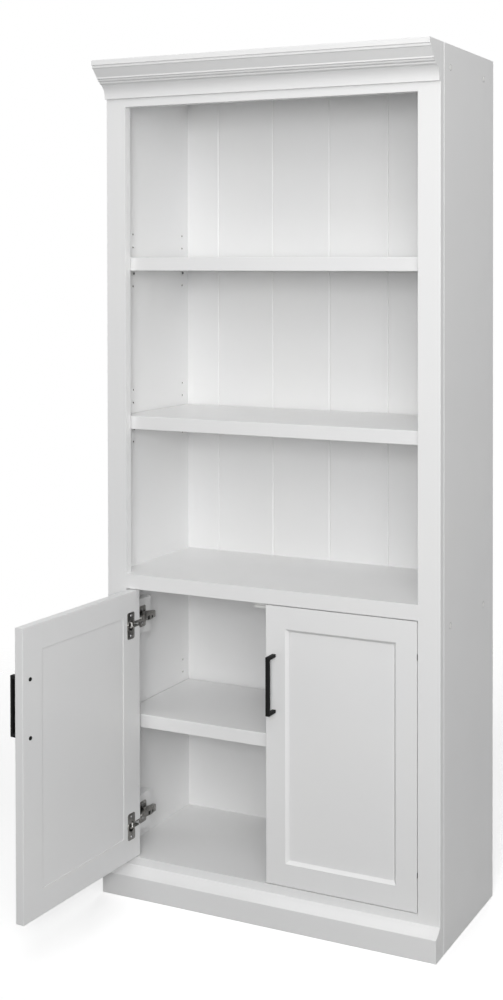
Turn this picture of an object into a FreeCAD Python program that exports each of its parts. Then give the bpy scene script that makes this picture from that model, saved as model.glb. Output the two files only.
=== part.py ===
import FreeCAD, Part
import os
from math import radians, sin, sqrt

# Tall bookcase with a face frame, a crown, a base moulding, loose shelves on pins above and in the
# cabinet, and two inset doors.  Millimetres.  +Z is up, +X to the right and +Y to the back.  The
# origin is on the floor, halfway along the width, in the plane of the face frame's front.

V = FreeCAD.Vector

# ---------------------------------------------------------------- case
case_width = 880.0
case_height = 2000.0
case_depth = 314.0            # face frame's front to the back edge of the sides
side_t = 19.0
frame_t = 19.0
stile_w = 54.0
top_rail_h = 106.5
middle_rail_h = 35.0
bottom_rail_h = 89.0
cabinet_opening_h = 647.0
panel_t = 19.0                # top and bottom panels
top_panel_drop = 50.0         # top of the case to the middle of the top panel
edge_round = 1.5
joint_chamfer = 2.0           # V joint between a stile and the side behind it

# back, in a rabbet of the sides
back_t = 5.0
back_rabbet_w = 9.0
back_gap = 0.3
board_pitch = 163.0           # V grooves that divide the upper back into boards
board_groove_w = 5.0
board_groove_d = 2.2

# battens and the hidden rail under the bottom panel
cleat_t = 16.0
cleat_h = 38.0
cleat_back_gap = 12.0
plinth_rail_t = 19.0

# ---------------------------------------------------------------- crown
crown_h = 86.5
crown_out = 56.5
crown_fascia_h = 12.0
crown_quirk = 3.5             # recess under the fascia
crown_quirk_h = 2.2
crown_astragal_h = 5.0        # small swelling below the recess
crown_astragal_run = 2.0
crown_astragal_swell = 1.4
crown_slope_h = 19.0          # slanted face, with a fillet at its foot
crown_slope_run = 14.5
crown_fillet_h = 3.2
crown_splay = 4.0             # slanted underside of the fillet
crown_splay_h = 1.6
crown_bead_h = 4.4
crown_bead_run = 4.6
crown_bead_swell = 1.3
crown_nib = 2.0               # slanted step under each of the two beads
crown_nib_h = 1.2
crown_sweep_sag = 3.4         # hollow of the large lower cove
crown_foot_h = 4.5
crown_foot_out = 6.5

# ---------------------------------------------------------------- base
base_h = 69.0
base_out = 23.0
base_face_h = 51.5
base_lip = 1.5
base_sag = 1.6
base_edge_round = 2.0

# ---------------------------------------------------------------- shelves and their pins
shelf_t = 32.0
shelf_end_gap = 2.0
shelf_front_gap = 3.0         # shelf's front behind the face frame
shelf_back_gap = 5.0
cabinet_shelf_gap = 9.0       # cabinet shelf's front behind the doors
pin_pitch = 32.0
pins_above = 3
pins_below = 1
pin_hole_r = 2.5
pin_hole_depth = 11.0
pin_front_inset = 57.5        # front column behind the side's front edge
pin_back_inset = 26.0         # back column in front of the back panel
pin_clear = 0.05
upper_pin_z = 1494.0          # hole that carries each shelf
middle_pin_z = 1110.5
cabinet_pin_z = 384.5
support_rise = 7.0            # hole's centre up to the shelf's underside
support_w = 10.0
support_reach = 9.0
support_wall = 2.0
support_pin_l = 10.0

# ---------------------------------------------------------------- doors
door_t = 22.0
door_side_gap = 2.2
door_middle_gap = 3.0
door_top_gap = 2.5
door_bottom_gap = 2.5
door_frame_w = 51.0           # stiles and rails, up to the bevel
door_bevel_w = 7.0
door_recess = 7.0
door_back_recess = 1.5
door_tongue = 7.0
door_tongue_t = 6.0
door_tongue_gap = 0.3
door_edge_round = 1.0
left_open_angle = 93.0        # the left door stands open

# ---------------------------------------------------------------- hinges
hinge_inset = 80.0            # door's end to the middle of each hinge
pivot_in = 11.0               # pin to the opening's edge
pivot_back = 3.6              # pin behind the door's front
hinge_pin_r = 1.3
hinge_pin_clear = 0.05
knuckle_r = 2.6
knuckle_h = 9.0
ear_t = 2.6
ear_gap = 0.25
ear_slant = 45.0
notch_clear = 0.3
notch_lap = 2.1               # how far the notch opens into the cup's bore
neck_w = 3.6
cup_edge = 33.0               # door's edge to the middle of the cup
cup_r = 13.0
cup_depth = 12.0
cup_wall = 1.4
flange_w = 25.0
flange_h = 64.0
flange_t = 1.6
flange_screw_pitch = 48.0
flange_corner = 5.0
block_back = 97.0
block_h = 86.0
plate_y = 60.0
plate_w = 27.0
plate_h = 52.0
plate_t = 2.4
plate_rib_t = 4.0
plate_screw_pitch = 32.0
arm_w = 14.0
arm_h = 12.0
arm_back = 101.0
arm_front = 25.0
arm_wall = 1.6
arm_play = 0.3
cam_screw_r = 4.0

# ---------------------------------------------------------------- handles
handle_pitch = 128.0
handle_edge = 22.0            # door's free edge to the middle of the handle
handle_drop = 178.5           # door's top to the middle of the handle
handle_w = 8.4
handle_bar_t = 6.5
handle_foot_h = 7.5
handle_out = 30.5
handle_round = 1.0

# ---------------------------------------------------------------- stop and fasteners
stop_l = 84.0
stop_wall = 4.0
stop_lip_h = 5.2
stop_drop = 17.5              # middle rail's underside to the bottom of the lip
stop_gap = 0.5
stop_foot = 16.0
stop_screw_in = 10.0          # stop's web to its screws
screw_r = 1.9
screw_head_r = 3.6
screw_head_h = 2.0
screw_l = 14.0
side_screw_l = 42.0           # into the top panel
cleat_screw_l = 32.0          # into a cleat
side_screw_front = 55.0       # first side screw behind the face frame's front
side_screw_back = 251.0
cap_r = 6.0
cap_t = 0.5
dowel_r = 4.0
dowel_l = 36.0
dowel_inset = 14.0            # dowels from a rail's edges
panel_dowel_inset = 40.0
dowel_in_side = 11.4
cam_r = 7.5
cam_h = 14.0
bolt_rise = 9.5               # panel's underside to the bolt
cam_reach = 34.0
cam_inset = 75.0
bolt_r = 3.0
bolt_in_cam = 4.0
bolt_in_side = 10.0
nail_r = 1.0
nail_head_r = 2.2
nail_head_t = 0.6
nail_l = 12.0
nail_first = 60.0             # lowest nail above the floor
nail_pitch = 210.0
handle_screw_r = 2.0
handle_screw_head_r = 4.0
handle_screw_sink = 2.5
handle_screw_bite = 9.0
through = 1.0                 # how far a cutting solid runs past a face

# ---------------------------------------------------------------- worked out
half_w = case_width / 2
inner_half = half_w - side_t
open_half = half_w - stile_w
back_y = case_depth - back_t
cabinet_low = bottom_rail_h
cabinet_top = cabinet_low + cabinet_opening_h
rest_top = cabinet_top + middle_rail_h
top_open = case_height - top_rail_h
top_panel_low = case_height - top_panel_drop - panel_t / 2
door_w = open_half - door_side_gap - door_middle_gap / 2
door_low = cabinet_low + door_bottom_gap
door_high = cabinet_top - door_top_gap
door_x0 = door_middle_gap / 2
door_x1 = door_x0 + door_w
pin_columns = (frame_t + pin_front_inset, back_y - pin_back_inset)
hinge_heights = {"lower": door_low + hinge_inset, "upper": door_high - hinge_inset}
side_screw_z = (case_height - top_panel_drop, cabinet_top - cleat_h / 2)
back_seam = cabinet_top + middle_rail_h / 2


# ---------------------------------------------------------------- helpers
def box(x0, x1, y0, y1, z0, z1):
    return Part.makeBox(x1 - x0, y1 - y0, z1 - z0, V(x0, y0, z0))


def rod(radius, start, end):
    start = V(*start)
    path = V(*end).sub(start)
    return Part.makeCylinder(radius, path.Length, start, path)


def prism(points, start, run):
    """Solid from a closed outline of points, swept along run from start."""
    corners = [start.add(p) for p in points]
    wire = Part.makePolygon(corners + [corners[0]])
    return Part.Face(wire).extrude(run)


def joined(shapes):
    whole = shapes[0]
    for shape in shapes[1:]:
        whole = whole.fuse(shape)
    return whole.removeSplitter()


def without(shape, cutters):
    for cutter in cutters:
        shape = shape.cut(cutter)
    return shape


def rounded(shape, radius, chosen):
    edges = [edge for edge in shape.Edges if chosen(edge)]
    return shape.makeFillet(radius, edges) if edges else shape


def runs_along(edge, axis):
    """True for a straight edge along the axis 0, 1 or 2."""
    if len(edge.Vertexes) != 2:
        return False
    span = edge.Vertexes[1].Point.sub(edge.Vertexes[0].Point)
    return abs(abs(span[axis]) - span.Length) < 1e-6 and abs(edge.Length - span.Length) < 1e-6


def edge_at(edge, axis, places):
    """True when the edge runs along the axis through the given places on the other axes."""
    point = edge.Vertexes[0].Point
    return runs_along(edge, axis) and all(abs(point[i] - at) < 1e-6 for i, at in places.items())


def mirrored(shape):
    return shape.mirror(V(0, 0, 0), V(1, 0, 0))


def both_sides(shapes):
    return shapes + [mirrored(shape) for shape in shapes]


def group(shapes):
    return Part.makeCompound(shapes)


def save(name, shape):
    shape.exportStep("parts/" + name + ".step")


class Outline:
    """Outline in the YZ plane, drawn from point to point and closed by its moulding."""

    def __init__(self, y, z):
        self.first = V(0, y, z)
        self.last = self.first
        self.edges = []

    def line_to(self, y, z):
        end = V(0, y, z)
        self.edges.append(Part.makeLine(self.last, end))
        self.last = end

    def arc_to(self, y, z, hollow):
        """Arc whose middle lies hollow behind its chord, or in front of it when negative."""
        end = V(0, y, z)
        chord = end.sub(self.last)
        inward = V(0, -chord.z, chord.y).normalize()
        middle = self.last.add(chord * 0.5).add(inward * hollow)
        self.edges.append(Part.Arc(self.last, middle, end).toShape())
        self.last = end

    def line(self, dy, dz):
        self.line_to(self.last.y + dy, self.last.z + dz)

    def arc(self, dy, dz, hollow):
        self.arc_to(self.last.y + dy, self.last.z + dz, hollow)

    def moulding(self, length):
        """Solid of the closed outline, centred on X = 0."""
        self.line_to(self.first.y, self.first.z)
        solid = Part.Face(Part.Wire(self.edges)).extrude(V(length, 0, 0))
        solid.translate(V(-length / 2, 0, 0))
        return solid


# ---------------------------------------------------------------- fasteners that pieces are cut for
def frame_dowels():
    """Dowels between the stiles and the rails, two at each rail's end."""
    rails = ((top_open, case_height), (0, bottom_rail_h))
    heights = [z for low, high in rails for z in (low + dowel_inset, high - dowel_inset)]
    heights.append(cabinet_top + middle_rail_h / 2)
    y = frame_t / 2
    ends = (open_half - dowel_l / 2, open_half + dowel_l / 2)
    return both_sides([rod(dowel_r, (ends[0], y, z), (ends[1], y, z)) for z in heights])


def both_columns(inset):
    return (frame_t + inset, back_y - inset)


def panel_dowels():
    """Dowels between each side and the ends of the fixed shelf and the bottom panel."""
    middles = (cabinet_top + middle_rail_h / 2, cabinet_low - panel_t / 2)
    ends = (inner_half + dowel_in_side - dowel_l, inner_half + dowel_in_side)
    return both_sides([rod(dowel_r, (ends[0], y, z), (ends[1], y, z))
                       for z in middles for y in both_columns(panel_dowel_inset)])


def cam_places():
    """Y and Z of the foot of each cam lock on one side."""
    undersides = (cabinet_top, cabinet_low - panel_t)
    return [(y, z) for z in undersides for y in both_columns(cam_inset)]


def cam_bores():
    x = inner_half - cam_reach
    return both_sides([rod(cam_r, (x, y, z), (x, y, z + cam_h)) for y, z in cam_places()])


def cam_bolts():
    ends = (inner_half - cam_reach + cam_r - bolt_in_cam, inner_half + bolt_in_side)
    return both_sides([rod(bolt_r, (ends[0], y, z + bolt_rise), (ends[1], y, z + bolt_rise))
                       for y, z in cam_places()])


def cam_locks():
    return [bore.cut(group(cam_bolts())) for bore in cam_bores()]


def side_screws():
    """Screws through the sides into the top panel and the shelf cleats."""
    screws = []
    for z in side_screw_z:
        for y in (side_screw_front, side_screw_back):
            end = half_w - (cleat_screw_l if z < rest_top else side_screw_l)
            shank = rod(screw_r, (end, y, z), (half_w - screw_head_h, y, z))
            head = rod(screw_head_r, (half_w - screw_head_h, y, z), (half_w, y, z))
            screws.append(shank.fuse(head).removeSplitter())
    return both_sides(screws)


def side_caps():
    caps = []
    for z in side_screw_z:
        for y in (side_screw_front, side_screw_back):
            caps.append(rod(cap_r, (half_w, y, z), (half_w + cap_t, y, z)))
    return both_sides(caps)


def pin_heights():
    shelves = (upper_pin_z, middle_pin_z, cabinet_pin_z)
    return [z + step * pin_pitch for z in shelves for step in range(-pins_below, pins_above + 1)]


def pin_holes():
    start = inner_half - through
    end = inner_half + pin_hole_depth
    return [rod(pin_hole_r, (start, y, z), (end, y, z)) for y in pin_columns for z in pin_heights()]


def block_screws():
    """Screws that hold each hinge block to the side, and the hinge plate to the block."""
    screws = []
    for z in hinge_heights.values():
        for dz in (-plate_screw_pitch / 2, plate_screw_pitch / 2):
            face = open_half - plate_t
            shank = rod(screw_r, (face, plate_y, z + dz), (face + screw_l, plate_y, z + dz))
            head = rod(screw_head_r, (face - screw_head_h, plate_y, z + dz), (face, plate_y, z + dz))
            screws.append(shank.fuse(head).removeSplitter())
    return both_sides(screws)


# ---------------------------------------------------------------- case pieces
def right_side(nails):
    side = box(inner_half, half_w, frame_t, case_depth, 0, case_height)
    rabbet = box(inner_half - through, inner_half + back_rabbet_w, back_y, case_depth + through,
                 -through, case_height + through)
    edge = [e for e in side.Edges if edge_at(e, 2, {0: half_w, 1: frame_t})]
    side = side.makeChamfer(joint_chamfer, edge)
    side = rounded(side, edge_round, lambda e: edge_at(e, 2, {0: half_w, 1: case_depth}))
    side = without(side, [rabbet] + pin_holes() + nails)
    return without(side, panel_dowels() + cam_bolts() + side_screws())


def right_stile():
    stile = box(open_half, half_w, 0, frame_t, 0, case_height)
    edge = [e for e in stile.Edges if edge_at(e, 2, {0: half_w, 1: frame_t})]
    stile = stile.makeChamfer(joint_chamfer, edge)
    stile = rounded(stile, edge_round, lambda e: edge_at(e, 2, {0: half_w, 1: 0}))
    return without(stile, frame_dowels())


def rail(low, high):
    return without(box(-open_half, open_half, 0, frame_t, low, high), frame_dowels())


def crown():
    """Crown from its flat top down to the foot that meets the top rail."""
    low = case_height - crown_h
    outline = Outline(0, case_height)
    outline.line(-crown_out, 0)
    outline.line(0, -crown_fascia_h)
    outline.line(crown_quirk, 0)
    outline.line(0, -crown_quirk_h)
    outline.arc(crown_astragal_run, -crown_astragal_h, -crown_astragal_swell)
    outline.line(crown_slope_run, -crown_slope_h)
    outline.line(0, -crown_fillet_h)
    outline.line(crown_splay, -crown_splay_h)
    for _ in range(2):
        outline.arc(crown_bead_run, -crown_bead_h, -crown_bead_swell)
        outline.line(crown_nib, -crown_nib_h)
    outline.arc_to(-crown_foot_out, low + crown_foot_h, crown_sweep_sag)
    outline.line_to(-crown_foot_out, low)
    outline.line_to(0, low)
    return outline.moulding(case_width)


def base():
    outline = Outline(0, base_h)
    outline.line(-base_lip, 0)
    outline.arc_to(-base_out, base_face_h, base_sag)
    outline.line_to(-base_out, 0)
    outline.line_to(0, 0)
    solid = outline.moulding(case_width)
    return rounded(solid, base_edge_round, lambda e: edge_at(e, 0, {1: -base_out, 2: base_face_h}))


def flat_panel(low, high):
    """Horizontal panel between the sides, bored for its dowels, cams and bolts."""
    panel = box(-inner_half, inner_half, frame_t, back_y, low, high)
    return without(panel, panel_dowels() + cam_bores() + cam_bolts() + side_screws())


def back_sheet(low, high):
    half = inner_half + back_rabbet_w - back_gap
    return box(-half, half, back_y, case_depth, low, high)


def upper_back():
    sheet = back_sheet(back_seam + back_gap, case_height)
    reach = int((inner_half - board_groove_w) // board_pitch)
    grooves = []
    for i in range(-reach, reach + 1):
        outline = [V(-board_groove_w / 2, -through, 0), V(-board_groove_w / 2, 0, 0),
                   V(0, board_groove_d, 0), V(board_groove_w / 2, 0, 0),
                   V(board_groove_w / 2, -through, 0)]
        start = V(i * board_pitch, back_y, cabinet_top)
        grooves.append(prism(outline, start, V(0, 0, case_height)))
    return without(sheet, grooves)


def cleat():
    solid = box(inner_half - cleat_t, inner_half, frame_t, back_y - cleat_back_gap,
                cabinet_top - cleat_h, cabinet_top)
    return without(solid, side_screws())


def back_nails():
    """Nails through both back sheets into the sides, down both edges."""
    x = inner_half + back_rabbet_w / 2
    count = int((case_height - nail_first) // nail_pitch) + 1
    nails = []
    for i in range(count):
        z = nail_first + i * nail_pitch
        neck = case_depth - nail_head_t
        head = rod(nail_head_r, (x, neck, z), (x, case_depth, z))
        shank = rod(nail_r, (x, case_depth - nail_l, z), (x, neck, z))
        nails.append(head.fuse(shank).removeSplitter())
    return both_sides(nails)


# ---------------------------------------------------------------- loose shelves
def loose_shelf(front, pin_z):
    half = inner_half - shelf_end_gap
    low = pin_z + support_rise
    shelf = box(-half, half, front, back_y - shelf_back_gap, low, low + shelf_t)
    return rounded(shelf, edge_round, lambda e: runs_along(e, 0) and e.Vertexes[0].Y < front + 1e-6)


def shelf_supports(pin_z):
    """Four pins with an angle that carries the shelf."""
    supports = []
    wall = inner_half
    for y in pin_columns:
        pin = rod(pin_hole_r - pin_clear, (wall, y, pin_z), (wall + support_pin_l, y, pin_z))
        leaf = box(wall - support_wall, wall, y - support_w / 2, y + support_w / 2,
                   pin_z - support_rise, pin_z + support_rise)
        seat = box(wall - support_reach, wall, y - support_w / 2, y + support_w / 2,
                   pin_z + support_rise - support_wall, pin_z + support_rise)
        web = prism([V(0, 0, 0), V(-support_reach + support_wall, 0, 0), V(0, 0, -support_rise)],
                    V(wall - support_wall, y - support_wall / 2, pin_z + support_rise - support_wall),
                    V(0, support_wall, 0))
        supports.append(joined([pin, leaf, seat, web]))
    return both_sides(supports)


# ---------------------------------------------------------------- doors, built closed on the right
def hinge_axis_x():
    return open_half - pivot_in


def bevel_cutter():
    """Frustum that sinks the middle of the door's face, with its sloped border."""
    def outline(grow, y):
        x0 = door_x0 + door_frame_w - grow
        x1 = door_x1 - door_frame_w + grow
        z0 = door_low + door_frame_w - grow
        z1 = door_high - door_frame_w + grow
        corners = [V(x0, y, z0), V(x1, y, z0), V(x1, y, z1), V(x0, y, z1)]
        return Part.makePolygon(corners + corners[:1])
    slope = door_bevel_w / door_recess
    front = outline(slope * through, -through)
    return Part.makeLoft([front, outline(-door_bevel_w, door_recess)], True, True)


def panel_bounds(grow):
    inset = door_frame_w + door_bevel_w
    return (door_x0 + inset - grow, door_x1 - inset + grow,
            door_low + inset - grow, door_high - inset + grow)


def tongue_y():
    middle = (door_recess + door_t - door_back_recess) / 2
    return middle - door_tongue_t / 2, middle + door_tongue_t / 2


def door_panel():
    gap = door_tongue_gap
    x0, x1, z0, z1 = panel_bounds(-gap)
    field = box(x0, x1, door_recess, door_t - door_back_recess, z0, z1)
    x0, x1, z0, z1 = panel_bounds(door_tongue - gap)
    y0, y1 = tongue_y()
    return joined([field, box(x0, x1, y0, y1, z0, z1)])


def tongue_groove():
    x0, x1, z0, z1 = panel_bounds(door_tongue)
    y0, y1 = tongue_y()
    return box(x0, x1, y0, y1, z0, z1)


def door_cuts():
    """Everything cut from the door's frame: bevel, groove, hinge pockets and screw holes."""
    cuts = [bevel_cutter(), tongue_groove()] + handle_screws()
    for z in hinge_heights.values():
        cuts += hinge_pocket(z)
    return cuts + cup_screws()


def door_stile(x0, x1, outer_x):
    stile = box(x0, x1, 0, door_t, door_low, door_high)
    stile = rounded(stile, door_edge_round,
                    lambda e: runs_along(e, 2) and abs(e.Vertexes[0].X - outer_x) < 1e-6)
    return without(stile, door_cuts())


def door_rail(z0, z1):
    inset = door_frame_w + door_bevel_w
    rail_box = box(door_x0 + inset, door_x1 - inset, 0, door_t, z0, z1)
    return without(rail_box, door_cuts())


def door_frame_pieces():
    inset = door_frame_w + door_bevel_w
    return {
        "hinge_stile": door_stile(door_x1 - inset, door_x1, door_x1),
        "free_stile": door_stile(door_x0, door_x0 + inset, door_x0),
        "top_rail": door_rail(door_high - inset, door_high),
        "bottom_rail": door_rail(door_low, door_low + inset),
    }


# ---------------------------------------------------------------- handle
def handle_heights():
    middle = door_high - handle_drop
    return middle - handle_pitch / 2, middle + handle_pitch / 2


def handle():
    x = door_x0 + handle_edge
    low, high = handle_heights()
    half = handle_w / 2
    foot = handle_foot_h / 2
    bar = box(x - half, x + half, -handle_out, -handle_out + handle_bar_t, low - foot, high + foot)
    feet = [box(x - half, x + half, -handle_out, 0, z - foot, z + foot) for z in (low, high)]
    whole = joined([bar] + feet)
    whole = rounded(whole, handle_round, lambda e: any(v.Y < 0 for v in e.Vertexes))
    return without(whole, handle_screws())


def handle_screws():
    x = door_x0 + handle_edge
    screws = []
    for z in handle_heights():
        top = door_t - handle_screw_sink
        shank = rod(handle_screw_r, (x, -handle_screw_bite, z), (x, top, z))
        head = rod(handle_screw_head_r, (x, top - handle_screw_sink, z), (x, top, z))
        screws.append(shank.fuse(head).removeSplitter())
    return screws


def screw_sinks():
    """Space behind each sunk handle screw's head."""
    x = door_x0 + handle_edge
    top = door_t - handle_screw_sink
    return [rod(handle_screw_head_r, (x, top, z), (x, door_t + through, z)) for z in handle_heights()]


# ---------------------------------------------------------------- hinges, on the right
def cup_x():
    return door_x1 - cup_edge


def hinge_pocket(z):
    """Bore for the cup, and the notch where the arm's neck swings, in the door's stile."""
    reach = knuckle_r + notch_clear
    half = knuckle_h / 2 + ear_gap + ear_t + notch_clear
    bore = rod(cup_r, (cup_x(), door_t - cup_depth, z), (cup_x(), door_t + through, z))
    notch = box(cup_x() + cup_r - cup_wall - notch_lap, door_x1 + through,
                pivot_back - reach, door_t + through, z - half, z + half)
    return [bore, notch]


def cup_screws():
    screws = []
    for z in hinge_heights.values():
        for dz in (-flange_screw_pitch / 2, flange_screw_pitch / 2):
            face = door_t + flange_t
            shank = rod(screw_r, (cup_x(), face - screw_l, z + dz), (cup_x(), face, z + dz))
            head = rod(screw_head_r, (cup_x(), face, z + dz), (cup_x(), face + screw_head_h, z + dz))
            screws.append(shank.fuse(head).removeSplitter())
    return screws


def hinge_cup(z):
    """Cup with its flange on the door's inner face, and two ears that hang on the pin."""
    x = cup_x()
    shell = rod(cup_r, (x, door_t - cup_depth, z), (x, door_t, z))
    flange = box(x - flange_w / 2, x + flange_w / 2, door_t, door_t + flange_t,
                 z - flange_h / 2, z + flange_h / 2)
    flange = rounded(flange, flange_corner, lambda e: runs_along(e, 1))
    whole = joined([shell, flange])
    hollow = rod(cup_r - cup_wall, (x, door_t - cup_depth + cup_wall, z),
                 (x, door_t + flange_t + through, z))
    whole = without(whole, [hollow])
    pin_x = hinge_axis_x()
    half = knuckle_h / 2 + ear_gap
    inner = x + cup_r - cup_wall
    gap = box(inner - cup_wall, x + cup_r + through, pivot_back - knuckle_r, door_t + through,
              z - half, z + half)
    whole = without(whole, [gap])
    root = x + sqrt((cup_r - cup_wall / 2) ** 2 - (half + ear_t) ** 2)
    for low in (z - half - ear_t, z + half):
        round_end = rod(knuckle_r, (pin_x, pivot_back, low), (pin_x, pivot_back, low + ear_t))
        tilt = knuckle_r * sin(radians(ear_slant))
        strap = prism([V(pin_x - tilt, pivot_back - tilt, 0), V(pin_x + tilt, pivot_back + tilt, 0),
                       V(root, door_t - cup_wall, 0), V(root, door_t - cup_depth, 0)],
                      V(0, 0, low), V(0, 0, ear_t))
        whole = whole.fuse(round_end.fuse(strap))
    bore = rod(hinge_pin_r + hinge_pin_clear, (pin_x, pivot_back, z - cup_r), (pin_x, pivot_back, z + cup_r))
    return without(whole.removeSplitter(), [bore] + cup_screws())


def hinge_pin(z):
    half = knuckle_h / 2 + ear_gap + ear_t
    x = hinge_axis_x()
    return rod(hinge_pin_r, (x, pivot_back, z - half), (x, pivot_back, z + half))


def hinge_plate(z):
    face = open_half
    base_plate = box(face - plate_t, face, plate_y - plate_w / 2, plate_y + plate_w / 2,
                     z - plate_h / 2, z + plate_h / 2)
    base_plate = rounded(base_plate, flange_corner, lambda e: runs_along(e, 0))
    rib = box(face - plate_t - plate_rib_t, face - plate_t, plate_y - plate_w / 2, arm_back - arm_w / 2,
              z - arm_w / 2 + arm_wall, z + arm_w / 2 - arm_wall)
    return without(joined([base_plate, rib]), block_screws())


def hinge_arm(z):
    """Channel that sits on the plate's rib, with a neck that runs forward to the pin."""
    outer = open_half - plate_t
    inner = outer - arm_h
    shell = box(inner, outer - arm_wall, arm_front, arm_back, z - arm_w / 2, z + arm_w / 2)
    room_half = arm_w / 2 - arm_wall + arm_play
    room = box(outer - plate_rib_t, outer, plate_y - plate_w / 2 - through, arm_back + through,
               z - room_half, z + room_half)
    shell = without(shell, [room])
    pin_x = hinge_axis_x()
    neck = box(pin_x - neck_w / 2, pin_x + neck_w / 2, pivot_back, arm_front + arm_wall,
               z - knuckle_h / 2, z + knuckle_h / 2)
    barrel = rod(knuckle_r, (pin_x, pivot_back, z - knuckle_h / 2), (pin_x, pivot_back, z + knuckle_h / 2))
    adjuster_y = arm_back - arm_w / 2
    adjuster = rod(cam_screw_r, (inner - arm_wall, adjuster_y, z), (inner, adjuster_y, z))
    whole = joined([shell, neck, barrel, adjuster])
    return without(whole, [hinge_pin(z)])


def hinge_block(z):
    block = box(open_half, inner_half, frame_t, block_back, z - block_h / 2, z + block_h / 2)
    block = rounded(block, edge_round, lambda e: edge_at(e, 2, {0: open_half, 1: block_back}))
    return without(block, block_screws())


# ---------------------------------------------------------------- door stop under the fixed shelf
def stop_y():
    return door_t + stop_gap


def door_stop():
    y = stop_y()
    low = cabinet_top - stop_drop
    lip = box(-stop_l / 2, stop_l / 2, y, y + 2 * stop_wall, low, low + stop_lip_h)
    web = box(-stop_l / 2, stop_l / 2, y + stop_wall, y + 2 * stop_wall, low, cabinet_top)
    foot = box(-stop_l / 2, stop_l / 2, y + stop_wall, y + stop_wall + stop_foot,
               cabinet_top - stop_wall, cabinet_top)
    return without(joined([lip, web, foot]), stop_screws())


def stop_screws():
    y = stop_y() + stop_wall + stop_screw_in
    screws = []
    for x in (-stop_l / 4, stop_l / 4):
        low = cabinet_top - stop_wall
        shank = rod(screw_r, (x, y, low), (x, y, low + screw_l))
        head = rod(screw_head_r, (x, y, low - screw_head_h), (x, y, low))
        screws.append(shank.fuse(head).removeSplitter())
    return screws


# ---------------------------------------------------------------- build
def build_case():
    nails = back_nails()
    side = right_side(nails)
    save("right_side_panel", side)
    save("left_side_panel", mirrored(side))
    stile = right_stile()
    save("right_stile", stile)
    save("left_stile", mirrored(stile))
    save("top_rail", rail(top_open, case_height))
    save("middle_rail", rail(cabinet_top, rest_top))
    save("bottom_rail", rail(0, bottom_rail_h))
    save("crown_moulding", crown())
    save("base_moulding", base())
    save("top_panel", flat_panel(top_panel_low, top_panel_low + panel_t))
    save("fixed_shelf", without(flat_panel(cabinet_top, rest_top), stop_screws()))
    save("bottom_panel", flat_panel(cabinet_low - panel_t, cabinet_low))
    save("plinth_back_rail", box(-inner_half, inner_half, back_y - plinth_rail_t, back_y,
                                 0, cabinet_low - panel_t))
    save("upper_back_panel", without(upper_back(), nails))
    save("lower_back_panel", without(back_sheet(0, back_seam), nails))
    save("back_panel_nails", group(nails))
    save("right_shelf_cleat", cleat())
    save("left_shelf_cleat", mirrored(cleat()))
    save("dowels", group(frame_dowels() + panel_dowels()))
    save("cam_locks", group(cam_locks()))
    save("cam_bolts", group(cam_bolts()))
    save("side_screws", group(side_screws()))
    save("side_screw_caps", group(side_caps()))
    save("door_stop", door_stop())
    save("short_screws", group(stop_screws() + block_screws()))


def build_shelves():
    open_front = frame_t + shelf_front_gap
    cabinet_front = door_t + cabinet_shelf_gap
    shelves = {"upper": (open_front, upper_pin_z), "middle": (open_front, middle_pin_z),
               "cabinet": (cabinet_front, cabinet_pin_z)}
    supports = []
    for name, (front, pin_z) in shelves.items():
        save(name + "_shelf", loose_shelf(front, pin_z))
        supports += shelf_supports(pin_z)
    save("shelf_supports", group(supports))


def build_hinges_on_case():
    for name, z in hinge_heights.items():
        for piece, shape in (("arm", hinge_arm(z)), ("block", hinge_block(z))):
            save("right_" + name + "_hinge_" + piece, shape)
            save("left_" + name + "_hinge_" + piece, mirrored(shape))
    save("hinge_plates", group(both_sides([hinge_plate(z) for z in hinge_heights.values()])))
    save("hinge_pins", group(both_sides([hinge_pin(z) for z in hinge_heights.values()])))


def build_doors():
    pieces = {"door_" + name: shape for name, shape in door_frame_pieces().items()}
    pieces["door_free_stile"] = without(pieces["door_free_stile"], screw_sinks())
    pieces["door_panel"] = door_panel()
    pieces["handle"] = handle()
    pieces["handle_screws"] = group(handle_screws())
    for name, z in hinge_heights.items():
        pieces[name + "_hinge_cup"] = hinge_cup(z)
    pieces["hinge_cup_screws"] = group(cup_screws())
    pivot = V(-hinge_axis_x(), pivot_back, 0)
    for name, shape in pieces.items():
        save("right_" + name, shape)
        turned = mirrored(shape)
        turned.rotate(pivot, V(0, 0, 1), -left_open_angle)
        save("left_" + name, turned)


os.makedirs("parts", exist_ok=True)
build_case()
build_shelves()
build_hinges_on_case()
build_doors()
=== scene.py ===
import math

import bmesh
import bpy
from mathutils import Matrix, Vector


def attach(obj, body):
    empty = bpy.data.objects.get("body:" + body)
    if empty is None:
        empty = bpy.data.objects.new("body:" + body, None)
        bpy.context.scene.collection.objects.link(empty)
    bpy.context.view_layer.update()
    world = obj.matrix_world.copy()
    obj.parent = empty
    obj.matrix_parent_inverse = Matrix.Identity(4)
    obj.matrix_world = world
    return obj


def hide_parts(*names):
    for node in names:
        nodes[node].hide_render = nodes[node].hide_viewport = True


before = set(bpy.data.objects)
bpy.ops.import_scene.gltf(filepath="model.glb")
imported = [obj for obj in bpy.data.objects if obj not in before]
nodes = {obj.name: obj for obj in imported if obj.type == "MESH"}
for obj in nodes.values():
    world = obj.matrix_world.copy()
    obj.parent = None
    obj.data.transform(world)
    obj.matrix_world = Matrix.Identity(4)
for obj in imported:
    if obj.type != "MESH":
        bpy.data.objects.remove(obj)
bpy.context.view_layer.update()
scene = bpy.context.scene

# ---------------------------------------------------------------- materials, in metres

GRAIN = {"x": (60, 1, 1), "y": (1, 60, 1), "z": (1, 1, 60)}
BEVEL_SAMPLES = 6


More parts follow.
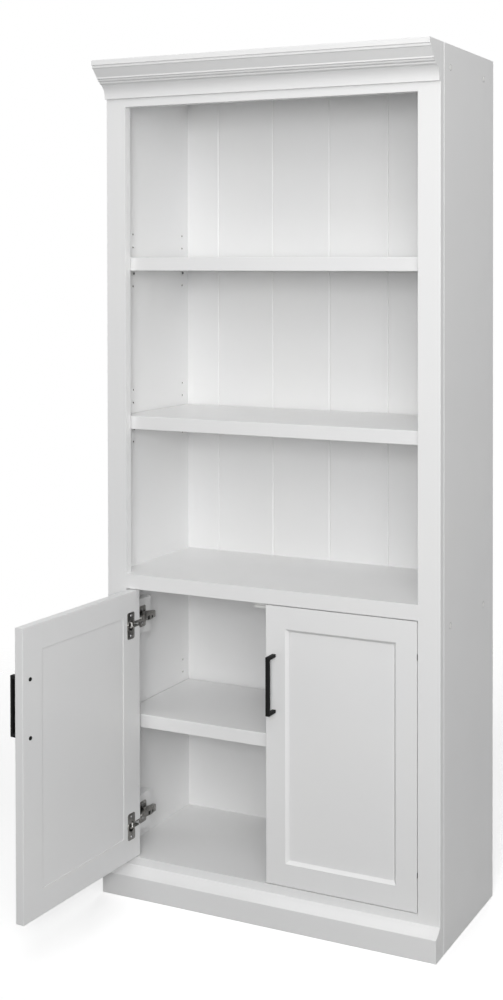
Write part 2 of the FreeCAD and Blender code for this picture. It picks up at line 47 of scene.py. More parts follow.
class Nodes:
    """Small helper that adds and links shader nodes of one material."""

    def __init__(self, name):
        self.material = bpy.data.materials.new(name)
        self.material.use_nodes = True
        self.tree = self.material.node_tree
        self.shader = self.tree.nodes["Principled BSDF"]
        self.output = self.tree.nodes["Material Output"]
        self.coords = self.add("ShaderNodeTexCoord")

    def add(self, kind, **settings):
        node = self.tree.nodes.new(kind)
        for key, value in settings.items():
            setattr(node, key, value)
        return node

    def link(self, start, end):
        self.tree.links.new(start, end)

    def noise(self, size, detail=2.0, rough=0.5, stretch=(1, 1, 1)):
        """Noise with features of the given size, stretched along the axes."""
        mapping = self.add("ShaderNodeMapping")
        mapping.inputs["Scale"].default_value = [1 / (size * s) for s in stretch]
        self.link(self.coords.outputs["Object"], mapping.inputs["Vector"])
        noise = self.add("ShaderNodeTexNoise")
        noise.inputs["Scale"].default_value = 1.0
        noise.inputs["Detail"].default_value = detail
        noise.inputs["Roughness"].default_value = rough
        self.link(mapping.outputs["Vector"], noise.inputs["Vector"])
        return noise.outputs["Fac"]

    def spread(self, value, low, high, start=0.3, end=0.7):
        """The value taken from the range start to end, to the range low to high."""
        node = self.add("ShaderNodeMapRange")
        node.inputs["From Min"].default_value = start
        node.inputs["From Max"].default_value = end
        node.inputs["To Min"].default_value = low
        node.inputs["To Max"].default_value = high
        self.link(value, node.inputs["Value"])
        return node.outputs["Result"]

    def colour(self, value, first, second):
        """Base colour that wanders between two colours."""
        node = self.add("ShaderNodeMix", data_type="RGBA")
        node.inputs["A"].default_value = (*first, 1)
        node.inputs["B"].default_value = (*second, 1)
        self.link(self.spread(value, 0, 1), node.inputs["Factor"])
        self.link(node.outputs["Result"], self.shader.inputs["Base Color"])

    def roughness(self, value, low, high):
        self.link(self.spread(value, low, high), self.shader.inputs["Roughness"])

    def bump(self, value, height, normal=None):
        """Bump whose full swing is height metres high."""
        node = self.add("ShaderNodeBump")
        node.inputs["Strength"].default_value = 1.0
        node.inputs["Distance"].default_value = height
        self.link(value, node.inputs["Height"])
        if normal:
            self.link(normal, node.inputs["Normal"])
        return node.outputs["Normal"]

    def soft_edges(self, radius):
        node = self.add("ShaderNodeBevel", samples=BEVEL_SAMPLES)
        node.inputs["Radius"].default_value = radius
        return node.outputs["Normal"]

    def finished(self, normal):
        self.link(normal, self.shader.inputs["Normal"])
        return self.material


def paint(name, along, tone=0.86, rough=0.38, grain=0.00003):
    """Satin white lacquer with a faint orange peel, over a board whose grain runs along an axis."""
    m = Nodes(name)
    m.colour(m.noise(0.35, 3), (tone * 0.98, tone * 0.982, tone * 0.985), (tone, tone, tone * 0.995))
    m.roughness(m.noise(0.06, 4, 0.6), rough - 0.05, rough + 0.06)
    fibres, peel, sag = m.noise(0.0011, 3, 0.6, GRAIN[along]), m.noise(0.0022, 1), m.noise(0.03, 1)
    normal = m.bump(fibres, grain, m.soft_edges(0.0008))
    normal = m.bump(sag, 0.00009, m.bump(peel, 0.00002, normal))
    m.shader.inputs["Coat Weight"].default_value = 0.15
    m.shader.inputs["Coat Roughness"].default_value = 0.25
    return m.finished(normal)


def metal(name, light, dark, rough):
    m = Nodes(name)
    m.shader.inputs["Metallic"].default_value = 1.0
    m.colour(m.noise(0.006, 3), dark, light)
    scratches = m.noise(0.0004, 2, 0.6)
    m.roughness(scratches, rough - 0.07, rough + 0.09)
    return m.finished(m.bump(scratches, 0.000012, m.soft_edges(0.0003)))


def black_coat(name, rough, tone):
    m = Nodes(name)
    m.shader.inputs["Specular IOR Level"].default_value = 0.15
    m.colour(m.noise(0.01, 3), (tone, tone, tone * 1.05), (tone * 0.6, tone * 0.6, tone * 0.62))
    grit = m.noise(0.0005, 2, 0.6)
    m.roughness(grit, rough, rough + 0.14)
    return m.finished(m.bump(grit, 0.00004, m.soft_edges(0.0006)))


def plastic(name, tone):
    m = Nodes(name)
    m.colour(m.noise(0.02, 2), (tone, tone, tone * 0.98), (tone * 0.96, tone * 0.96, tone * 0.95))
    grain = m.noise(0.0006, 1)
    m.roughness(grain, 0.32, 0.42)
    return m.finished(m.bump(grain, 0.00001, m.soft_edges(0.0005)))


def bare_wood(name, dark, light):
    m = Nodes(name)
    fibres = m.noise(0.001, 4, 0.6, GRAIN["x"])
    m.colour(fibres, dark, light)
    m.roughness(fibres, 0.55, 0.7)
    return m.finished(m.bump(fibres, 0.0001))


paint_x = paint("paint_along_x", "x")
paint_y = paint("paint_along_y", "y")
paint_z = paint("paint_along_z", "z")
paint_back = paint("paint_back_board", "z", tone=0.85, rough=0.5, grain=0.00005)
# Dark paint for the ring round each screw cap: painted shade of the gap the cap sits in.
shadow_line = paint("painted_cap_gap_shade", "z", tone=0.4)
coat = black_coat("matt_black_coat", 0.46, 0.0025)
# Near-black coat for the handle screws and the clip's levers: painted shade of their counterbores and
# windows.
painted_shade_black = black_coat("painted_shade_black_coat", 0.34, 0.008)
nickel = metal("nickel_plate", (0.37, 0.36, 0.345), (0.25, 0.245, 0.235), 0.26)
# Lighter copy of the nickel for the cup's roller: a painted highlight.
painted_highlight_nickel = metal("painted_highlight_nickel", (0.80, 0.79, 0.77), (0.62, 0.61, 0.59), 0.16)
# Near-white copy of the nickel for the arm's ridge: a painted highlight along the arm.
painted_highlight_pale_nickel = metal("painted_highlight_pale_nickel", (0.95, 0.94, 0.92), (0.86, 0.85, 0.83), 0.5)
dark_steel = metal("dark_steel", (0.16, 0.16, 0.165), (0.09, 0.09, 0.095), 0.4)
zinc = metal("zinc_plate", (0.38, 0.38, 0.385), (0.25, 0.25, 0.255), 0.34)
cast = metal("cast_zinc", (0.55, 0.55, 0.55), (0.45, 0.45, 0.46), 0.45)
white_plastic = plastic("white_plastic", 0.78)
cap_plastic = plastic("cap_plastic", 0.93)
beech = bare_wood("bare_beech", (0.42, 0.27, 0.15), (0.62, 0.45, 0.28))
board = bare_wood("raw_board", (0.30, 0.28, 0.26), (0.42, 0.40, 0.37))

ALONG_X = ("top_rail", "middle_rail", "bottom_rail", "crown_moulding", "base_moulding", "top_panel",
           "fixed_shelf", "bottom_panel", "upper_shelf", "middle_shelf", "cabinet_shelf",
           "plinth_back_rail")


def material_of(name):
    if name.endswith("back_panel"):
        return paint_back
    if name.endswith("cleat"):
        return paint_y
    if name in ALONG_X or name.endswith(("door_top_rail", "door_bottom_rail")):
        return paint_x
    if name.endswith("handle"):
        return coat
    if name.endswith(("hinge_arm", "hinge_cup", "hinge_plates", "shelf_supports")):
        return nickel
    if name in ("door_stop", "side_screw_caps"):
        return white_plastic
    if name == "cam_locks":
        return cast
    if name == "dowels":
        return beech
    if name.endswith(("screws", "nails", "cam_bolts", "hinge_pins")):
        return zinc
    return paint_z


for name, node in nodes.items():
    node.data.materials.clear()
    node.data.materials.append(material_of(name))

# ---------------------------------------------------------------- measures, in millimetres

# The part at rest: the right door closed, the left door open. Heights are above the floor, depths
# are behind the face frame's front.
LEFT_OPEN = 93.0                        # degrees
PIVOT = Vector((375.0, 3.6, 0))         # the right hinges' pin
PIN_BORE = 1.36
SIDE_X = 421.0                          # the side panel's inner face
DOOR_T = 22.0
PIN_PITCH = 32                          # between the shelf-pin holes

SMALL_HEAD = 2.0                        # height of the small screws' heads

HANDLE_X = 23.5
HANDLE_Z = (491.0, 619.0)               # its screws
HANDLE_OUT = 30.9                       # from the door's face to the bar's front
BAR_T = 6.3                             # front to back
BAR_HALF = 4.8                          # half the bar's and the feet's width
FOOT_HALF = 3.75                        # half a foot's height

HINGE_Z = {"lower": 171.5, "upper": 653.5}
CUP_X = 350.8
CUP_SCREW = 24                          # from the hinge's middle, up and down
FLANGE_T = 1.6
MOUTH_R = 11.6
RIM_R = 12.9
BOWL_R = 12.95
EAR_GAP = 4.75                          # half the gap between a cup's ears
EAR_T = 2.6
NECK_HALF = 4.5
ARM_IN, ARM_OUT = 371.6, 382.0
RIB_IN, RIB_OUT = 379.6, 383.8
PLATE_X = 386.0                         # the plates' outer face
PLATE_SLOT = 16                         # from the hinge's middle, up and down

# ---------------------------------------------------------------- mesh tools, in millimetres

AXES = {"x": lambda u, v, w: (w, u, v), "y": lambda u, v, w: (u, w, v), "z": lambda u, v, w: (u, v, w)}
MM_PER_M = 1000
CORNER_STEPS = 4
FAN_STEPS = 10
SAME_POINT = 1e-6
SHARP = math.radians(30)                # edges that softened rounds
SHADED_SHARP = math.radians(32)         # edges that smooth shading stops at


def points(*pairs):
    return [Vector(pair) for pair in pairs]


def rounded(corners, radius):
    """Closed outline with rounded corners; radius is one number, or one for each corner."""
    radii = radius if isinstance(radius, list) else [radius] * len(corners)
    outline = []
    for i, (corner, r) in enumerate(zip(corners, radii)):
        here = Vector(corner)
        if not r:
            outline.append(here)
            continue
        back = (Vector(corners[i - 1]) - here).normalized()
        onward = (Vector(corners[(i + 1) % len(corners)]) - here).normalized()
        half = back.angle(onward) / 2
        centre = here + (back + onward).normalized() * r / math.sin(half)
        first = here + back * r / math.tan(half) - centre
        last = here + onward * r / math.tan(half) - centre
        start = math.atan2(first.y, first.x)
        sweep = (math.atan2(last.y, last.x) - start + math.pi) % (2 * math.pi) - math.pi
        for step in range(CORNER_STEPS + 1):
            angle = start + sweep * step / CORNER_STEPS
            outline.append(centre + r * Vector((math.cos(angle), math.sin(angle))))
    return outline


def oblong(u0, u1, v0, v1, radius):
    return rounded([(u0, v0), (u1, v0), (u1, v1), (u0, v1)], radius)


def fan(centre, radius, start, end):
    """Points on an arc between two angles in degrees."""
    angles = [math.radians(start + (end - start) * i / FAN_STEPS) for i in range(FAN_STEPS + 1)]
    return [Vector(centre) + radius * Vector((math.cos(a), math.sin(a))) for a in angles]


def slab(outline, low, high, axis="z"):
    """Prism along an axis; its outline is in (y, z) for x, (x, z) for y and (x, y) for z."""
    shape = bmesh.new()
    bottom = [shape.verts.new(AXES[axis](u, v, low)) for u, v in outline]
    top = [shape.verts.new(AXES[axis](u, v, high)) for u, v in outline]
    shape.faces.new(bottom)
    shape.faces.new(top)
    for i in range(len(outline)):
        shape.faces.new((bottom[i - 1], bottom[i], top[i], top[i - 1]))
    bmesh.ops.recalc_face_normals(shape, faces=shape.faces[:])
    return shape


def turned(profile, axis="z", centre=(0, 0), steps=32, ring=False):
    """Solid of revolution of (radius, height) points; a ring's profile closes on itself."""
    shape = bmesh.new()
    rows = []
    for radius, height in profile:
        count = steps if radius > SAME_POINT else 1
        turns = [2 * math.pi * i / count for i in range(count)]
        circle = [(centre[0] + radius * math.cos(a), centre[1] + radius * math.sin(a)) for a in turns]
        rows.append([shape.verts.new(AXES[axis](u, v, height)) for u, v in circle])
    pairs = list(zip(rows, rows[1:])) + ([(rows[-1], rows[0])] if ring else [])
    for a, b in pairs:
        for i in range(steps):
            j = (i + 1) % steps
            corners = dict.fromkeys((a[i % len(a)], a[j % len(a)], b[j % len(b)], b[i % len(b)]))
            if len(corners) > 2:
                shape.faces.new(list(corners))
    bmesh.ops.recalc_face_normals(shape, faces=shape.faces[:])
    return shape


def rod(radius, low, high, axis="z", centre=(0, 0), steps=20):
    return turned([(0, low), (radius, low), (radius, high), (0, high)], axis, centre, steps)


def softened(shape, width, chosen=lambda edge: True, segments=2):
    """Rounds the shape's sharp edges, or the chosen ones of them."""
    shape.normal_update()
    edges = [e for e in shape.edges if e.is_manifold and e.calc_face_angle() > SHARP and chosen(e)]
    bmesh.ops.bevel(shape, geom=edges, offset=width, segments=segments, profile=0.5, affect="EDGES",
                    clamp_overlap=True)
    return shape


def as_object(shape, name="tool"):
    """Object made of the shape, which is used up."""
    mesh = bpy.data.meshes.new(name)
    shape.to_mesh(mesh)
    shape.free()
    obj = bpy.data.objects.new(name, mesh)
    scene.collection.objects.link(obj)
    return obj


def less(shape, *tools):
    """The shape with the tools cut out of it; all of them are used up."""
    body = as_object(shape)
    cutters = [as_object(tool) for tool in tools]
    for cutter in cutters:
        cut = body.modifiers.new("cut", "BOOLEAN")
        cut.operation = "DIFFERENCE"
        cut.solver = "EXACT"
        cut.object = cutter
    bpy.context.view_layer.update()
    solved = body.evaluated_get(bpy.context.evaluated_depsgraph_get())
    result = bmesh.new()
    result.from_mesh(solved.to_mesh())
    solved.to_mesh_clear()
    for obj in [body] + cutters:
        mesh = obj.data
        bpy.data.objects.remove(obj)
        bpy.data.meshes.remove(mesh)
    return result


def joined(*shapes):
    """One shape made of several, which are used up."""
    whole = bmesh.new()
    for shape in shapes:
        mesh = bpy.data.meshes.new("part")
        shape.to_mesh(mesh)
        shape.free()
        whole.from_mesh(mesh)
        bpy.data.meshes.remove(mesh)
    return whole


def in_material(shape, index):
    """Gives the whole shape a later one of its piece's materials, the first of which is 0."""
    for face in shape.faces:
        face.material_index = index
    return shape


def copied(shape, matrix):
    copy = shape.copy()
    copy.transform(matrix)
    return copy


def facing(place, direction, turn=0.0):
    """Matrix that takes a shape standing on +Z at the origin to a place and direction."""
    lean = Vector((0, 0, 1)).rotation_difference(Vector(direction)).to_matrix().to_4x4()
    return Matrix.Translation(place) @ lean @ Matrix.Rotation(math.radians(turn), 4, "Z")


def solids(name):
    """Low corner, high corner, middle and side (1 right, -1 left) of each solid of a node, in
    millimetres and lowest first."""
    shape = bmesh.new()
    shape.from_mesh(nodes[name].data)
    bmesh.ops.remove_doubles(shape, verts=shape.verts, dist=SAME_POINT)
    boxes = []
    waiting = set(shape.verts)          # vertices whose solid isn't found yet
    while waiting:
        group = [waiting.pop()]
        for vert in group:
            for edge in vert.link_edges:
                other = edge.other_vert(vert)
                if other in waiting:
                    waiting.remove(other)
                    group.append(other)
        corners = [vert.co * MM_PER_M for vert in group]
        low, high = (Vector([end(c[i] for c in corners) for i in range(3)]) for end in (min, max))
        middle = (low + high) / 2
        boxes.append((low, high, middle, 1 if middle.x > 0 else -1))
    shape.free()
    return sorted(boxes, key=lambda box: [round(box[0][i], 1) for i in (2, 1, 0)])


def side_matrix(side, door=False):
    """Takes a shape of the closed right side to the side where it stands at rest."""
    if side == "right":
        return Matrix.Identity(4)
    mirror = Matrix.Scale(-1, 4, (1, 0, 0))
    if not door:
        return mirror
    pivot = Vector((-PIVOT.x, PIVOT.y, 0))
    swing = Matrix.Rotation(-math.radians(LEFT_OPEN), 4, "Z")
    return Matrix.Translation(pivot) @ swing @ Matrix.Translation(-pivot) @ mirror


def piece(shape, name, material, body, slot, *replaced):
    """Makes a shape in millimetres an object that rides on a body and stands for CAD nodes."""
    shape.transform(Matrix.Scale(1 / MM_PER_M, 4))
    bmesh.ops.recalc_face_normals(shape, faces=shape.faces[:])
    for face in shape.faces:
        face.smooth = True
    obj = as_object(shape, name)
    obj.data.set_sharp_from_angle(angle=SHADED_SHARP)
    for each in material if isinstance(material, tuple) else (material,):
        obj.data.materials.append(each)
    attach(obj, body)
    if replaced:
        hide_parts(*replaced)


# ---------------------------------------------------------------- screws, caps and cam locks


RECESS_ARM = 0.2        # half width of a cross recess's arms, as a part of their reach
RECESS_TAPER = 0.6      # size of its bottom, as a part of its top
STOP_SCREWS = 100       # the door stop's screws lie nearer to the middle than this


def cross_recess(reach, top, depth):
    """Cutter for a cross recess that narrows towards its bottom."""
    arm = RECESS_ARM * reach
    cross = [(reach, -arm), (reach, arm), (arm, arm), (arm, reach), (-arm, reach), (-arm, arm),
             (-reach, arm), (-reach, -arm), (-arm, -arm), (-arm, -reach), (arm, -reach), (arm, -arm)]
    tool = slab(cross, top - depth, top + 1)
    for vert in tool.verts:
        if vert.co.z < top:
            vert.co.x *= RECESS_TAPER
            vert.co.y *= RECESS_TAPER
    return tool


def screw(r, h, shank_r, length):
    """Pan-head screw: a head of radius r and height h that stands on z = 0, and a shank below."""
    head = turned([(0, h), (0.45 * r, 0.97 * h), (0.75 * r, 0.8 * h), (0.93 * r, 0.5 * h),
                   (r, 0.15 * h), (r, 0), (0, 0)])
    head = less(head, cross_recess(0.6 * r, h, 0.75 * h))
    shank = turned([(0, 0), (shank_r, 0), (shank_r, -length + 2), (0, -length)], steps=16)
    return joined(head, shank)


small = screw(3.6, SMALL_HEAD, 1.9, 14.0)
set_screws = []
for low, high, middle, sign in solids("short_screws"):
    if abs(middle.x) < STOP_SCREWS:     # driven upwards; the others hold the hinge plates
        place, direction, turn = (middle.x, middle.y, low.z + SMALL_HEAD), (0, 0, -1), middle.x
    else:
        face = (low.x if sign > 0 else high.x) + SMALL_HEAD * sign
        place, direction, turn = (face, middle.y, middle.z), (-sign, 0, 0), 7 * middle.z
    set_screws.append(copied(small, facing(place, direction, turn)))
piece(joined(*set_screws), "set_screws", zinc, "case", "fastener", "short_screws")

caps = []
for low, high, middle, sign in solids("side_screw_caps"):
    t = high.x - low.x
    cap = turned([(0, t), (5.0, t), (6.0, 0.7 * t), (6.3, 0.2 * t), (6.3, 0), (0, 0)])
    # The ring takes the dark second material: painted shade of the gap round the cap.
    seat = turned([(6.3, 0), (6.3, 0.3 * t), (7.1, 0.3 * t), (7.1, 0)], ring=True)
    place = (low.x if sign > 0 else high.x, middle.y, middle.z)
    caps.append(copied(joined(cap, in_material(seat, 1)), facing(place, (sign, 0, 0))))
piece(joined(*caps), "screw_caps", (cap_plastic, shadow_line), "case", "plastic", "side_screw_caps")

locks = []
for low, high, middle, sign in solids("cam_locks"):
    r, h = (high.x - low.x) / 2, high.z - low.z
    lock = turned([(0, h), (r - 1.6, h), (r - 1.4, h - 0.6), (r - 0.8, h - 0.6), (r - 0.6, h),
                   (r - 0.1, h), (r, h - 0.2), (r, 0), (0, 0)])
    pointer = slab([(0.6 * r, 0), (r + 1, -1.4), (r + 1, 1.4)], h - 0.8, h + 1)
    lock = less(lock, cross_recess(0.5 * r, h, 2.5), pointer)
    lock.transform(facing((middle.x, middle.y, high.z), (0, 0, -1), 90 if sign > 0 else 35))
    locks.append(lock)
piece(joined(*locks), "cam_lock_discs", cast, "case", "cam", "cam_locks")

# ---------------------------------------------------------------- handles


def handle():
    """Square bow handle."""
    low, high = HANDLE_Z
    bar_in = -HANDLE_OUT + BAR_T
    bow = rounded([(0, low - FOOT_HALF), (-HANDLE_OUT, low - FOOT_HALF), (-HANDLE_OUT, high + FOOT_HALF),
                   (0, high + FOOT_HALF), (0, high - FOOT_HALF), (bar_in, high - FOOT_HALF),
                   (bar_in, low + FOOT_HALF), (0, low + FOOT_HALF)],
                  [0, 1.8, 1.8, 0, 0, 2.2, 2.2, 0])
    return softened(slab(bow, HANDLE_X - BAR_HALF, HANDLE_X + BAR_HALF, "x"), 0.8, segments=3)


def handle_screw():
    """Washer-head screw that fills its counterbore in the door's inner face."""
    head = turned([(0, 2.2), (2.6, 2.15), (3.5, 1.7), (3.8, 1.0), (4.4, 0.8), (4.6, 0.3), (4.5, 0),
                   (3.9, 0), (3.9, -5), (2.0, -5), (2.0, -29), (0, -31)])
    return less(head, cross_recess(2.4, 2.2, 1.5))


for side in ("left", "right"):
    where = side_matrix(side, door=True)
    piece(copied(handle(), where), side + "_bow_handle", coat, side + "_door", "handle",
          side + "_handle")
    # The handle screws take the near-black coat: painted shade of their counterbores.
    pair = [copied(handle_screw(), facing((HANDLE_X, DOOR_T, z), (0, 1, 0), z)) for z in HANDLE_Z]
    piece(copied(joined(*pair), where), side + "_bow_screws", painted_shade_black, side + "_door", "fastener",
          side + "_handle_screws")

# ---------------------------------------------------------------- hinges, for the closed right door


def cup(z):
    """Pressed cup with its flange, the two ears that hang on the pin, and the spring's roller."""
    around = {"axis": "y", "centre": (CUP_X, z), "steps": 48}
    flange = slab(oblong(CUP_X - 12.5, CUP_X + 12.5, z - 32, z + 32, 5), DOOR_T, DOOR_T + FLANGE_T, "y")
    flange = less(softened(flange, 0.5), rod(MOUTH_R, DOOR_T - 1, DOOR_T + 3, **around))
    rim = turned([(MOUTH_R, DOOR_T - 1), (MOUTH_R, DOOR_T + 1.9), (11.9, DOOR_T + 2.2),
                  (12.5, DOOR_T + 2.2), (RIM_R, DOOR_T + 1.7), (RIM_R, DOOR_T - 1)], ring=True, **around)
    bowl = turned([(0, 10), (10.9, 10), (BOWL_R, 12), (BOWL_R, DOOR_T), (MOUTH_R, DOOR_T),
                   (MOUTH_R, 13.8), (10.7, 12.2), (9.2, 11.4), (0, 11.4)], **around)
    gap = oblong(CUP_X + 8.7, CUP_X + 20, z - EAR_GAP, z + EAR_GAP, 0)
    bowl = less(bowl, slab(gap, 0, 30, "y"))
    rim = less(rim, slab(gap, 0, 30, "y"))
    ear = (points((353.0, 12.0), (366.0, 10.6)) + fan(PIVOT.xy, 2.6, -135, -30)
           + points((382.4, 9.0), (382.6, 19.0), (380.2, 21.2), (357.0, 21.0), (353.0, 18.0)))
    ears = [less(softened(slab(ear, low, low + EAR_T), 0.4),
                 rod(PIN_BORE, low - 1, low + 4, centre=PIVOT.xy))
            for low in (z - EAR_GAP - EAR_T, z + EAR_GAP)]
    # The roller takes the lighter nickel: a painted highlight inside the cup.
    roller = in_material(rod(2.6, z - 4.9, z + 4.9, centre=(359.5, 18.0)), 1)
    spring = points((353.5, 12.4), (354.6, 12.4), (356.4, 16.6), (356.4, 18.2), (355.2, 18.2))
    return joined(flange, rim, bowl, roller, slab(spring, z - 4.8, z + 4.8), *ears)


def arm(z):
    """Stamped arm with its neck, a clip with two levers in its windows, a ridge and two screws."""
    plan = rounded([(25, z - 5), (25, z + 5), (33, z + 7), (97, z + 7), (97, z - 7), (33, z - 7)],
                   [2, 2, 3, 2.5, 2.5, 3])
    body = softened(slab(plan, ARM_IN, ARM_OUT, "x"), 1.5,
                    lambda edge: all(abs(vert.co.x - ARM_IN) < 0.01 for vert in edge.verts), 3)
    room = slab([(45.5, z - 5.7), (103, z - 5.7), (103, z + 5.7), (45.5, z + 5.7)], RIB_IN, 384, "x")
    slots = [slab(oblong(33.5, 44.5, z - 2.6, z + 2.6, 2.5), ARM_IN - 1, ARM_IN + 2.4, "x"),
             slab(oblong(49.5, 59.5, z - 2.0, z + 2.0, 1.9), ARM_IN - 1, ARM_IN + 3, "x")]
    body = less(body, room, *slots)

    link = fan(PIVOT.xy, 2.0, -160, -20) + points((376.8, 28), (369.0, 28), (369.0, 14))
    neck = softened(slab(link, z - NECK_HALF, z + NECK_HALF), 0.9, segments=3)
    barrel = turned([(0, z - NECK_HALF), (2.3, z - NECK_HALF), (2.6, z - 4.2), (2.6, z + 4.2),
                     (2.3, z + NECK_HALF), (0, z + NECK_HALF)], "z", PIVOT.xy, 28)
    neck, barrel = (less(shape, rod(PIN_BORE, z - 6, z + 6, centre=PIVOT.xy))
                    for shape in (neck, barrel))

    clip = rounded([(50, z - 8), (50, z + 16), (95, z + 8), (95, z - 8.5), (74, z - 11)],
                   [1.5, 1.5, 2, 2, 2])
    clip = softened(slab(clip, ARM_IN - 0.9, ARM_IN + 5.4, "x"), 0.7)
    windows = [oblong(64.0, 72.5, z - 9.0, z + 0.5, 1.2), oblong(79.5, 84.5, z - 7.5, z - 1.0, 1.2)]
    clip = less(clip, *[slab(window, ARM_IN - 3, ARM_IN + 3, "x") for window in windows])
    # The levers take the near-black third material: painted shade in the clip's windows.
    levers = [in_material(slab(window, ARM_IN - 0.3, ARM_IN + 3, "x"), 2) for window in windows]

    # The ridge takes the near-white nickel: a painted highlight strip along the arm's top.
    ridge = softened(slab(oblong(12, 36, z + 2.2, z + 4.6, 0.8), 368.4, 372.0, "x"), 0.3)
    side_screw = copied(screw(3.0, 1.6, 1.5, 6.0), facing((ARM_IN + 1.2, 39, z), (-1, 0, 0), 20))
    cam = copied(screw(3.4, 1.6, 1.8, 4.0), facing((ARM_IN - 0.4, 84, z + 5.4), (-1, 0, 0), 50))
    return joined(body, neck, barrel, clip, *levers, in_material(ridge, 1), side_screw, cam)


def plate(z):
    """Mounting plate with slotted wings, and the rib that carries the arm."""
    wings = softened(slab(oblong(46.5, 73.5, z - 26, z + 26, 5), PLATE_X - 2.4, PLATE_X, "x"), 0.7)
    slots = [slab(oblong(57.2, 62.8, middle - 5.6, middle + 5.6, 2.7), PLATE_X - 4, PLATE_X + 1, "x")
             for middle in (z - PLATE_SLOT, z + PLATE_SLOT)]
    rib = slab([(46.5, z - 5.4), (94, z - 5.4), (94, z + 5.4), (46.5, z + 5.4)], RIB_IN, RIB_OUT, "x")
    return joined(less(wings, *slots), softened(rib, 0.5))


plates = []
for side in ("left", "right"):
    fixed, swung = side_matrix(side), side_matrix(side, door=True)
    heads = []
    for level, z in HINGE_Z.items():
        name = side + "_" + level
        plates.append(copied(plate(z), fixed))
        piece(copied(arm(z), fixed), name + "_clip_arm", (nickel, painted_highlight_pale_nickel, painted_shade_black), "case",
              "hinge", name + "_hinge_arm")
        piece(copied(cup(z), swung), name + "_cup", (nickel, painted_highlight_nickel), side + "_door", "hinge",
              name + "_hinge_cup")
        for screw_z in (z - CUP_SCREW, z + CUP_SCREW):
            stand = facing((CUP_X, DOOR_T + FLANGE_T, screw_z), (0, 1, 0), 11 * screw_z)
            heads.append(copied(small, swung @ stand))
    piece(joined(*heads), side + "_cup_screws", zinc, side + "_door", "fastener",
          side + "_hinge_cup_screws")
piece(joined(*plates), "slotted_plates", nickel, "case", "hinge", "hinge_plates")

# ---------------------------------------------------------------- shelf supports and free pin holes

pegs = []
liners = []
for *_, middle, sign in solids("shelf_supports"):
    y, pin = middle.y, middle.z
    mirror = Matrix.Scale(sign, 4, (1, 0, 0))
    leaf = softened(slab(oblong(y - 5, y + 5, pin - 7, pin + 7, 2.4), SIDE_X - 2, SIDE_X, "x"), 0.5)
    seat = softened(slab(oblong(SIDE_X - 9, SIDE_X, y - 5, y + 5, 1.8), pin + 5, pin + 7), 0.5)
    web = slab([(419.5, pin + 5.5), (413.5, pin + 5.5), (419.5, pin + 2.5)], y - 0.9, y + 0.9, "y")
    steel = turned([(0, 417.6), (2.6, 417.8), (3.2, 418.4), (3.2, 419.5), (2.45, 419.5), (2.45, 430),
                    (1.9, 431), (0, 431)], "x", (y, pin), 24)
    pegs.append(copied(joined(leaf, seat, web, in_material(steel, 1)), mirror))
    for step in (-1, 1, 2, 3):
        liner = turned([(2.1, 421.4), (2.49, 421.2), (2.49, 431.9), (0, 431.9), (0, 430), (2.1, 430)],
                       "x", (y, pin + PIN_PITCH * step), 16, ring=True)
        liners.append(copied(liner, mirror))
piece(joined(*pegs), "support_pegs", (white_plastic, dark_steel), "case", "hinge", "shelf_supports")
piece(joined(*liners), "pin_hole_walls", board, "case", "paint")

# ---------------------------------------------------------------- floor, light, camera, in metres


def seen_directly(tree):
    """1 for camera, glossy and transmission rays, so that they see the studio's white."""
    path = tree.nodes.new("ShaderNodeLightPath")
    value = path.outputs["Is Camera Ray"]
    for other in ("Is Glossy Ray", "Is Transmission Ray"):
        either = tree.nodes.new("ShaderNodeMath")
        either.operation = "MAXIMUM"
        tree.links.new(value, either.inputs[0])
        tree.links.new(path.outputs[other], either.inputs[1])
        value = either.outputs[0]
    return value


FLOOR_NEAR, FLOOR_FAR = 1.3, 2.6        # radii at which the floor starts to fade and has faded out
FLOOR_SIDES = 96
FLOOR_GLOW = 0.4
FLOOR_BOUNCE = 0.12


def stage_floor():
    """Pale round floor that keeps the object's shadow and fades out into the white backdrop."""
    turns = [2 * math.pi * i / FLOOR_SIDES for i in range(FLOOR_SIDES)]
    shape = bmesh.new()
    shape.faces.new([shape.verts.new((FLOOR_FAR * math.cos(a), FLOOR_FAR * math.sin(a), 0))
                     for a in turns])
    floor = as_object(shape, "floor")
    m = Nodes("studio_floor")
    shade = m.noise(0.8, 2)
    m.colour(shade, (0.87, 0.87, 0.87), (0.89, 0.89, 0.89))
    m.roughness(shade, 0.9, 0.95)
    m.shader.inputs["Specular IOR Level"].default_value = 0.0
    m.shader.inputs["Emission Color"].default_value = (1, 1, 1, 1)
    m.shader.inputs["Emission Strength"].default_value = FLOOR_GLOW
    dull = m.add("ShaderNodeBsdfDiffuse")
    dull.inputs["Color"].default_value = (FLOOR_BOUNCE, FLOOR_BOUNCE, FLOOR_BOUNCE, 1)
    kind = m.add("ShaderNodeMixShader")
    m.link(seen_directly(m.tree), kind.inputs["Fac"])
    m.link(dull.outputs["BSDF"], kind.inputs[1])
    m.link(m.shader.outputs["BSDF"], kind.inputs[2])
    length = m.add("ShaderNodeVectorMath", operation="LENGTH")
    m.link(m.coords.outputs["Object"], length.inputs[0])
    fade = m.add("ShaderNodeMixShader")
    m.link(m.spread(length.outputs["Value"], 0, 1, FLOOR_NEAR, FLOOR_FAR), fade.inputs["Fac"])
    m.link(kind.outputs["Shader"], fade.inputs[1])
    m.link(m.add("ShaderNodeBsdfTransparent").outputs["BSDF"], fade.inputs[2])
    m.link(fade.outputs["Shader"], m.output.inputs["Surface"])
    floor.data.materials.append(m.material)


stage_floor()

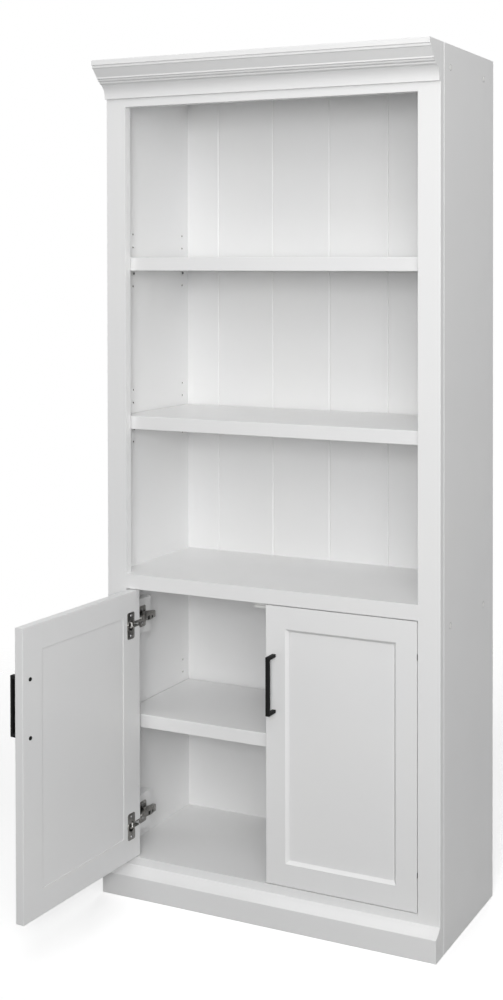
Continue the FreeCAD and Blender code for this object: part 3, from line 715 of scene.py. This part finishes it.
AMBIENT = 0.11          # light of the surroundings that falls on the object
world = bpy.data.worlds.new("studio")
scene.world = world
world.use_nodes = True
tree = world.node_tree
background = tree.nodes["Background"]
strength = tree.nodes.new("ShaderNodeMapRange")
strength.inputs["To Min"].default_value = AMBIENT
strength.inputs["To Max"].default_value = 1.0
tree.links.new(seen_directly(tree), strength.inputs["Value"])
background.inputs["Color"].default_value = (1, 1, 1, 1)
tree.links.new(strength.outputs["Result"], background.inputs["Strength"])

# Name, place, aim, size and watts.
LAMPS = (
    ("key", (2.2, -3.4, 2.4), (0, 0, 1.1), (2.0, 2.0), 56),
    ("front", (1.6, -3.5, 1.8), (0, 0, 1.1), (1.0, 1.0), 45),
    ("low", (3.2, -3.0, 1.3), (0, 0, 1.1), (1.5, 1.5), 9),
    ("high", (0.9, -2.7, 3.8), (0, 0, 1.0), (2.0, 1.5), 18),
    ("top", (0, -1.6, 4.2), (0, 0, 1.0), (3.0, 2.0), 23),
    ("right", (4.5, -0.5, 3.2), (0.3, 0.1, 1.4), (2.0, 2.0), 29),
    ("left", (-4.5, -1.5, 2.0), (0, 0.1, 1.1), (2.0, 2.5), 23),
    ("rear", (-1.0, 4.5, 2.6), (0, 0.3, 1.1), (2.5, 2.0), 90),
)
for name, place, aim, size, power in LAMPS:
    data = bpy.data.lights.new(name, "AREA")
    data.shape = "RECTANGLE"
    data.size, data.size_y = size
    data.energy = power
    lamp = bpy.data.objects.new(name, data)
    lamp.location = place
    lamp.rotation_euler = (Vector(aim) - Vector(place)).to_track_quat("-Z", "Y").to_euler()
    scene.collection.objects.link(lamp)

# The camera is solved from edges and corners measured in the photograph.
data = bpy.data.cameras.new("camera")
data.sensor_width = 36.0
data.lens = 47.09
data.shift_x = -0.2272
data.shift_y = -0.2165
camera = bpy.data.objects.new("camera", data)
yaw, pitch, roll = (math.radians(a) for a in (21.99, -0.772, 0.04))
camera.location = (1.5778, -2.59642, 1.51323)
camera.rotation_euler = (Matrix.Rotation(yaw, 3, "Z") @ Matrix.Rotation(math.pi / 2 + pitch, 3, "X")
                         @ Matrix.Rotation(roll, 3, "Z")).to_euler()
scene.collection.objects.link(camera)
scene.camera = camera
scene.view_settings.view_transform = "Standard"
